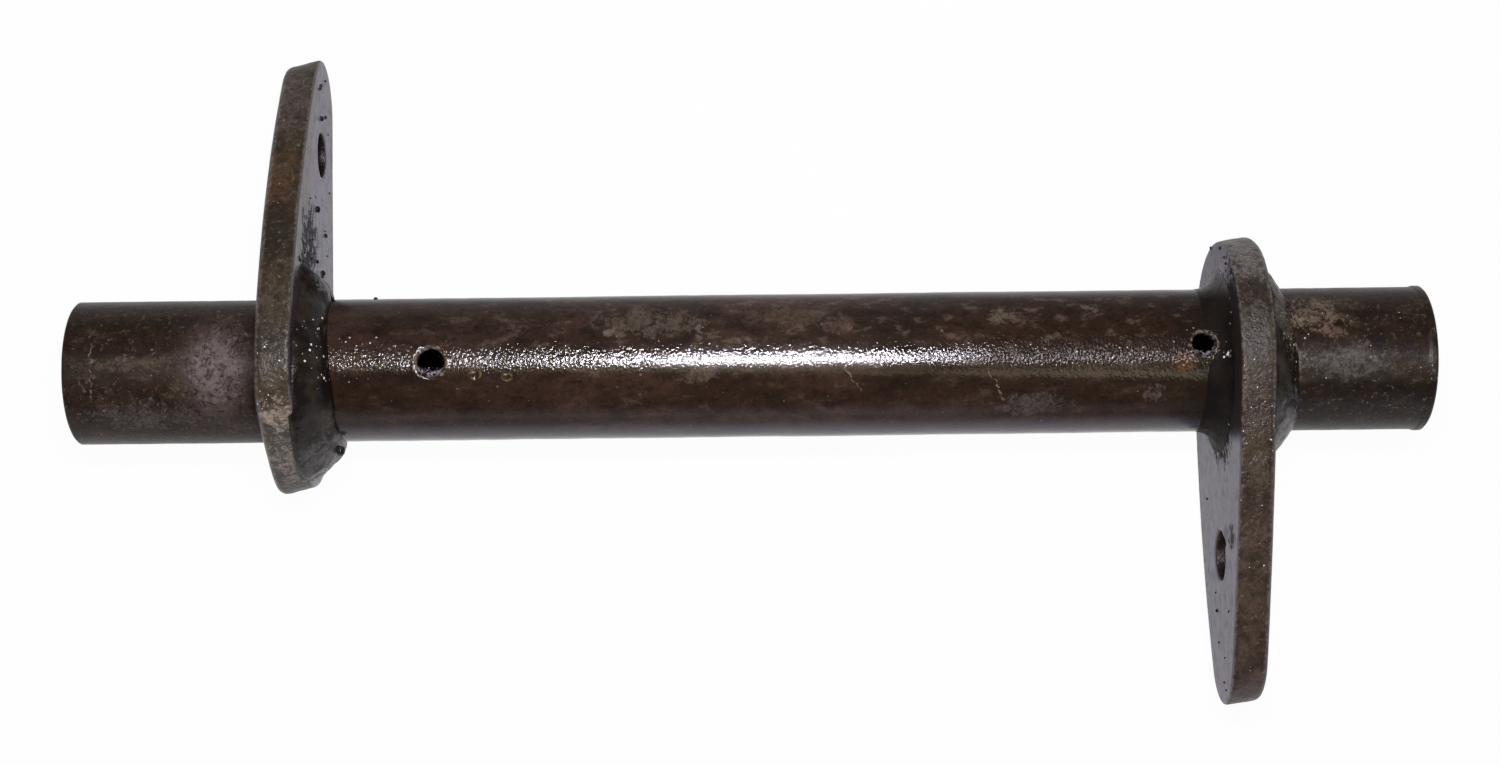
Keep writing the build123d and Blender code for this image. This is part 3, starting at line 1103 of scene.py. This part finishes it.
def spatter_ball(skin, centre, radius, scatter):
    """A small lumpy ball. The centre and the radius are in millimetres."""
    squeeze = scatter.uniform(0.75, 1.1, 3)
    middle = np.array(centre)
    rings = []
    for row in range(1, ball_rows):
        tilt = pi * row / ball_rows
        points = []
        for column in range(ball_columns):
            turn = 2 * pi * column / ball_columns
            size = radius * scatter.uniform(0.86, 1.1)
            way = np.array((sin(tilt) * cos(turn), sin(tilt) * sin(turn), cos(tilt)))
            points.append((middle + way * squeeze * size) * MM)
        rings.append(skin.ring(points))
    for one, other in zip(rings, rings[1:]):
        skin.join(one, other)
    for ring, end in ((rings[0], 1), (rings[-1], -1)):
        tip = skin.ring([(middle + np.array((0, 0, end)) * squeeze * radius) * MM])[0]
        for k in range(ball_columns):
            skin.faces.append((ring[k], ring[(k + 1) % ball_columns], tip))


def spatter(name, balls):
    """balls are pairs of a place and a width, in millimetres."""
    scatter = np.random.default_rng(SEED + 2)
    skin = Skin()
    for place, width in balls:
        spatter_ball(skin, place, width / 2, scatter)
    add_piece(name, skin.mesh(name), "weld_steel")


spatter("left_spatter", [((left_inner_face, y, z), width) for y, z, width in left_spatter])
spatter("right_spatter", [((right_inner_face, y, z), width) for y, z, width in right_spatter])
on_round = [(on_tube(x, angle), width) for x, angle, width in tube_spatter]
spatter("tube_spatter", on_round + bead_spatter)


# Camera: above the part, as the photograph was taken

camera_distance = 525 * MM
camera_lift = 3.73 * MM
camera_pitch = radians(2.4)
camera_roll = radians(-0.68)
focal_pixels = 2352
photo_width = 1500
sensor = 36

camera_data = bpy.data.cameras.new("camera")
camera_data.sensor_width = sensor
camera_data.lens = focal_pixels * sensor / photo_width
camera = bpy.data.objects.new("camera", camera_data)
bpy.context.scene.collection.objects.link(camera)
bpy.context.scene.camera = camera
back = Vector((0, -sin(camera_pitch), cos(camera_pitch)))
level_up = Vector((0, cos(camera_pitch), sin(camera_pitch)))
level_right = Vector((1, 0, 0))
right = level_right * cos(camera_roll) + level_up * sin(camera_roll)
up = level_up * cos(camera_roll) - level_right * sin(camera_roll)
camera.matrix_world = Matrix((right, up, back)).transposed().to_4x4()
camera.location = back * camera_distance - level_up * camera_lift


# Floor, lamps and surroundings

floor_half = 3.0
corner_ways = [(-1, -1), (1, -1), (1, 1), (-1, 1)]
floor_mesh = bpy.data.meshes.new("floor")
floor_corners = [(x * floor_half, y * floor_half, cad_low.z) for x, y in corner_ways]
floor_mesh.from_pydata(floor_corners, [], [(0, 1, 2, 3)])
floor = bpy.data.objects.new("floor", floor_mesh)
bpy.context.scene.collection.objects.link(floor)


def floor_white():
    """White to the camera, grey to the object, and dimmer in reflections beyond the part."""
    made = Finish("floor_white")
    rays = made.raw("ShaderNodeLightPath", {}, {})
    kinds = ("Is Camera Ray", "Is Glossy Ray", "Is Transmission Ray")
    seen, mirrored, seen_through = (Value(made, rays.outputs[kind]) for kind in kinds)
    beyond = made.step(made.y, -20, 40)
    shows = seen.larger(seen_through) + mirrored * (1 - 0.4 * beyond)
    strength = 1 - 0.3 * mirrored * beyond
    plain = made.node("ShaderNodeBsdfDiffuse", {}, {"Color": (0.8, 0.8, 0.8, 1)})
    glow = made.node("ShaderNodeEmission", {}, {"Color": (1, 1, 1, 1), "Strength": strength})
    shader = made.node("ShaderNodeMixShader", {}, {0: shows * 0.97, 1: plain, 2: glow})
    made.raw("ShaderNodeOutputMaterial", {}, {"Surface": shader})
    return made.material


floor_mesh.materials.append(floor_white())


def lamp(name, place, size, power, colour):
    """A rectangular lamp that shines straight down."""
    data = bpy.data.lights.new(name, "AREA")
    data.shape = "RECTANGLE"
    data.size, data.size_y = size
    data.energy = power
    data.color = colour
    made = bpy.data.objects.new(name, data)
    bpy.context.scene.collection.objects.link(made)
    made.location = place
    return made


# The flash is aimed at the origin. The strip makes the faint warm line along the tube.
flash = lamp("flash", (0.014, 0.064, 0.530), size=(0.16, 0.036), power=2.85, colour=(0.93, 0.90, 1.0))
flash.rotation_mode = "QUATERNION"
flash.rotation_quaternion = flash.location.to_track_quat("Z", "Y")
strip = lamp("strip", (-0.06, -0.122, 1.0), size=(1.6, 0.07), power=1.6, colour=(1.0, 0.90, 0.62))
strip.rotation_euler.z = -0.727


def studio_world():
    """Pale near the horizon in front and dim overhead, as in a room above a white table."""
    world = bpy.data.worlds.new("studio")
    bpy.context.scene.world = world
    world.use_nodes = True
    made = Nodes(world.node_tree)
    way = made.node("ShaderNodeTexCoord", {}, {}, "Generated")
    part = made.raw("ShaderNodeSeparateXYZ", {}, {"Vector": way})
    height, depth = (Value(made, part.outputs[axis]) for axis in "ZY")
    near = made.step(depth, 0.3, -0.9) * made.step(height, 0.45, 0.03)
    level = 0.06 + made.step(height, 0.20, 0.02, 0.20) + 1.45 * near
    sky = made.node("ShaderNodeBackground", {}, {"Color": (0.88, 0.85, 1, 1), "Strength": level})
    made.raw("ShaderNodeOutputWorld", {}, {"Surface": sky})


studio_world()

bpy.context.scene.view_settings.view_transform = "Standard"
